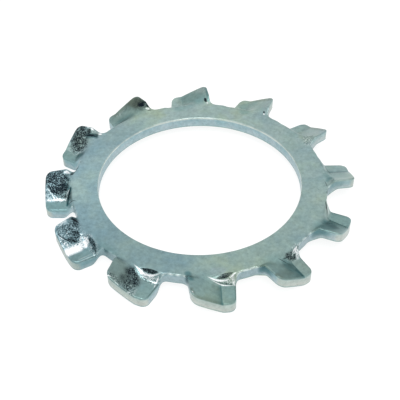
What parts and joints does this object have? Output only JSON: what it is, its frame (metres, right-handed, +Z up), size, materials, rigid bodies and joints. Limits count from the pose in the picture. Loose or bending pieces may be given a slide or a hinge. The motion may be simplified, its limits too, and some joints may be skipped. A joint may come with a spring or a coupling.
{
  "type": "toothed lock washer",
  "caption": "Flat ring with a plain bore and short radial teeth, each twisted out of the ring's plane. Stamped from thin sheet steel and zinc plated.",
  "frame": {"origin": "on the bore's axis, in the plane that the feet of the teeth rest on", "axes": "+Z up along the bore's axis; +X out through the middle of one tooth"},
  "size_m": [0.0258, 0.0258, 0.0023],
  "materials": {
    "zinc_plate": "bright zinc plate with a blue-green cast, slightly cloudy, speckled on the teeth"
  },
  "bodies": {
    "root": {"lock_washer": "zinc_plate"}
  },
  "joints": []
}
